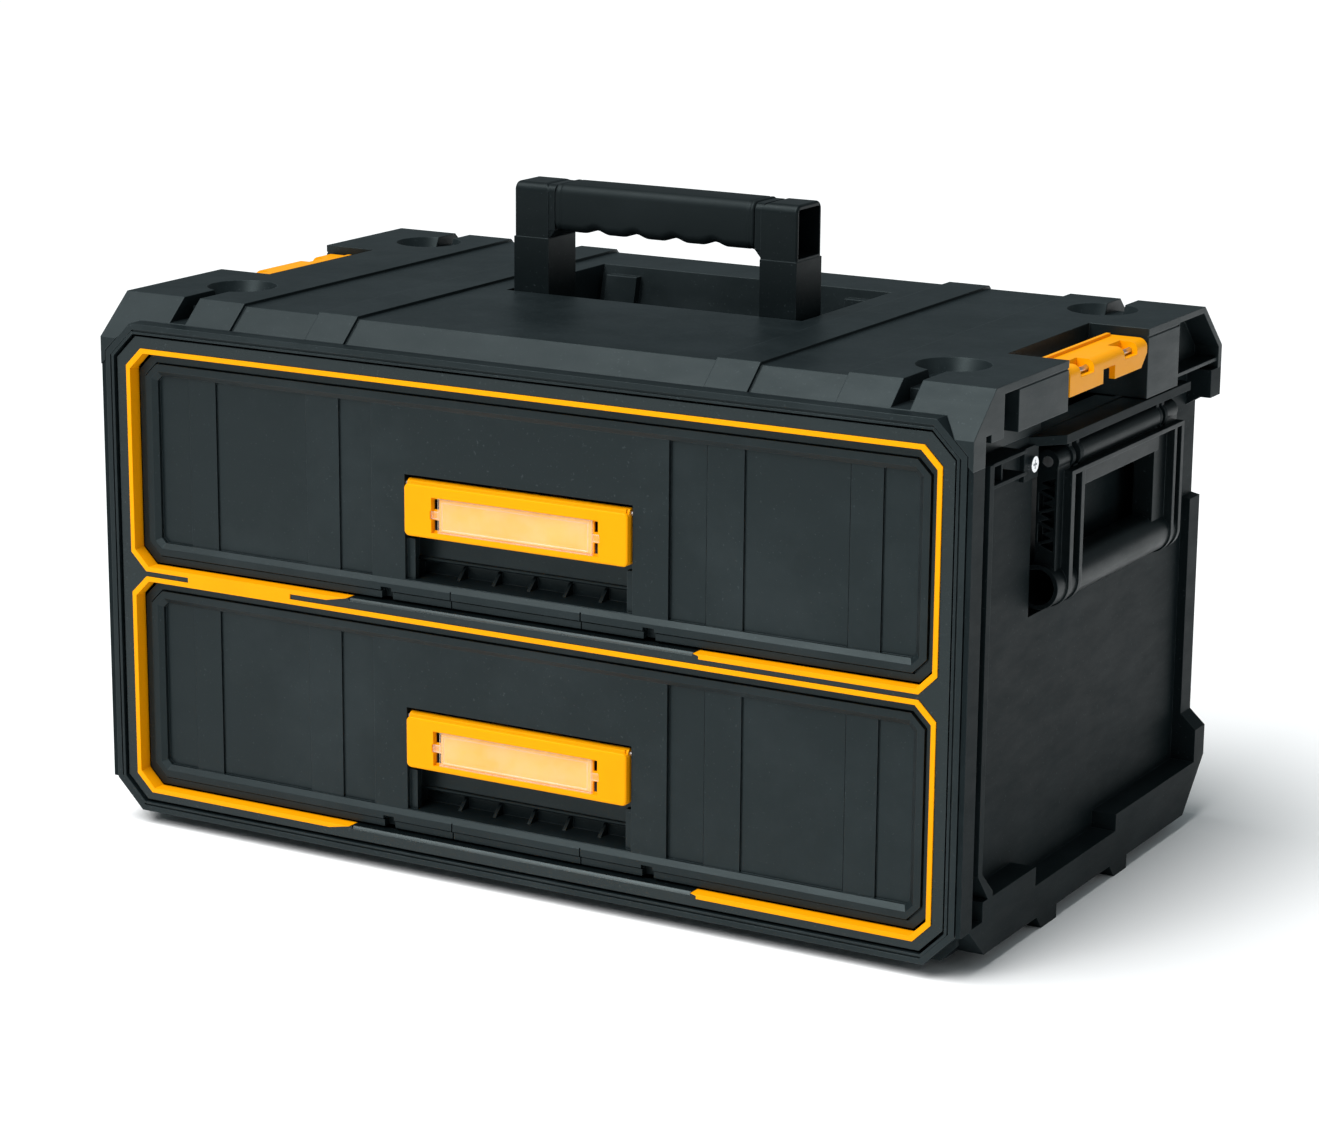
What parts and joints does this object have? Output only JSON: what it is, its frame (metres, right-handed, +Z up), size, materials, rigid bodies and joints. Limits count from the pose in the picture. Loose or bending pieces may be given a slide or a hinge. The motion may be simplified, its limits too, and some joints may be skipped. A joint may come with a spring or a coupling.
{
  "type": "stackable drawer tool box",
  "caption": "Stackable moulded tool box with two full-width drawers on ball slides, spring paddle latches, a folding top handle, drop side handles and flip stack latches.",
  "frame": {"origin": "middle of the footprint, on the surface that the feet stand on", "axes": "+Z up, -Y the way the drawers open, +X to the right seen from the front"},
  "size_m": [0.554, 0.34, 0.3764],
  "materials": {
    "black_plastic": "fine moulded grain",
    "yellow_plastic": "satin",
    "steel": "zinc plated",
    "screw_chrome": "polished",
    "grip": "soft matte",
    "grey_nylon": "matte",
    "clear_plastic": "clear",
    "card": "paper"
  },
  "bodies": {
    "cabinet": {"housing": "black_plastic", "top_deck": "black_plastic", "front_collar": "black_plastic", "front_bezel": "black_plastic", "front_trim": "yellow_plastic", "mid_rail": "black_plastic", "bolt_strikes": "steel", "top_handle_pins": "steel", "side_handle_rods": "steel", "stack_latch_pins": "steel", "side_screws": "screw_chrome", "upper_outer_rails": "steel", "lower_outer_rails": "steel", "upper_rail_screws": "steel", "lower_rail_screws": "steel"},
    "upper_drawer": {"upper_drawer_front": "black_plastic", "upper_drawer_tray": "black_plastic", "upper_dividers": "black_plastic", "upper_front_screws": "steel", "upper_inner_rails": "steel", "upper_slide_screws": "steel", "upper_paddle_pin": "steel", "upper_paddle_spring": "steel"},
    "upper_cages": {"upper_ball_cages": "steel"},
    "upper_paddle_set": {"upper_paddle": "yellow_plastic", "upper_label_card": "card", "upper_label_cover": "clear_plastic"},
    "upper_bolt": {"upper_latch_bolt": "grey_nylon"},
    "lower_drawer": {"lower_drawer_front": "black_plastic", "lower_drawer_tray": "black_plastic", "lower_dividers": "black_plastic", "lower_front_screws": "steel", "lower_inner_rails": "steel", "lower_slide_screws": "steel", "lower_paddle_pin": "steel", "lower_paddle_spring": "steel"},
    "lower_cages": {"lower_ball_cages": "steel"},
    "lower_paddle_set": {"lower_paddle": "yellow_plastic", "lower_label_card": "card", "lower_label_cover": "clear_plastic"},
    "lower_bolt": {"lower_latch_bolt": "grey_nylon"},
    "top_handle": {"top_handle_frame": "black_plastic", "top_handle_grip": "grip"},
    "right_handle": {"right_side_handle": "black_plastic"},
    "right_latch": {"right_stack_latch": "yellow_plastic", "right_latch_rod": "screw_chrome"},
    "left_handle": {"left_side_handle": "black_plastic"},
    "left_latch": {"left_stack_latch": "yellow_plastic", "left_latch_rod": "screw_chrome"}
  },
  "joints": [
    {"name": "upper_drawer_slide", "type": "slide", "parent": "cabinet", "child": "upper_drawer", "axis": [0, -1, 0], "range_m": [0, 0.2]},
    {"name": "upper_cage_roll", "type": "slide", "parent": "cabinet", "child": "upper_cages", "axis": [0, -1, 0], "range_m": [0, 0.1]},
    {"name": "upper_paddle_hinge", "type": "hinge", "parent": "upper_drawer", "child": "upper_paddle_set", "pos_m": [0, -0.158, 0.226], "axis": [-1, 0, 0], "range_deg": [0, 18], "stiffness_Nm_per_rad": 0.25, "springref_deg": -11.46},
    {"name": "upper_bolt_slide", "type": "slide", "parent": "upper_drawer", "child": "upper_bolt", "axis": [0, 0, -1], "range_m": [0, 0.00503]},
    {"name": "lower_drawer_slide", "type": "slide", "parent": "cabinet", "child": "lower_drawer", "axis": [0, -1, 0], "range_m": [0, 0.2]},
    {"name": "lower_cage_roll", "type": "slide", "parent": "cabinet", "child": "lower_cages", "axis": [0, -1, 0], "range_m": [0, 0.1]},
    {"name": "lower_paddle_hinge", "type": "hinge", "parent": "lower_drawer", "child": "lower_paddle_set", "pos_m": [0, -0.158, 0.0913], "axis": [-1, 0, 0], "range_deg": [0, 18], "stiffness_Nm_per_rad": 0.25, "springref_deg": -11.46},
    {"name": "lower_bolt_slide", "type": "slide", "parent": "lower_drawer", "child": "lower_bolt", "axis": [0, 0, -1], "range_m": [0, 0.00503]},
    {"name": "top_handle_fold", "type": "hinge", "parent": "cabinet", "child": "top_handle", "pos_m": [0, 0.001, 0.296], "axis": [-1, 0, 0], "range_deg": [0, 90]},
    {"name": "right_handle_swing", "type": "hinge", "parent": "cabinet", "child": "right_handle", "pos_m": [0.265, 0.036, 0.2565], "axis": [0, -1, 0], "range_deg": [0, 88]},
    {"name": "right_latch_turn", "type": "hinge", "parent": "cabinet", "child": "right_latch", "pos_m": [0.265, 0.002, 0.2995], "axis": [0, 1, 0], "range_deg": [0, 75]},
    {"name": "left_handle_swing", "type": "hinge", "parent": "cabinet", "child": "left_handle", "pos_m": [-0.265, 0.036, 0.2565], "axis": [0, 1, 0], "range_deg": [0, 88]},
    {"name": "left_latch_turn", "type": "hinge", "parent": "cabinet", "child": "left_latch", "pos_m": [-0.265, 0.002, 0.2995], "axis": [0, -1, 0], "range_deg": [0, 75]}
  ],
  "couplings": [
    {"joint": "upper_cage_roll", "follows": "upper_drawer_slide", "ratio": 0.5},
    {"joint": "upper_bolt_slide", "follows": "upper_paddle_hinge", "m_per_rad": 0.016},
    {"joint": "lower_cage_roll", "follows": "lower_drawer_slide", "ratio": 0.5},
    {"joint": "lower_bolt_slide", "follows": "lower_paddle_hinge", "m_per_rad": 0.016}
  ]
}
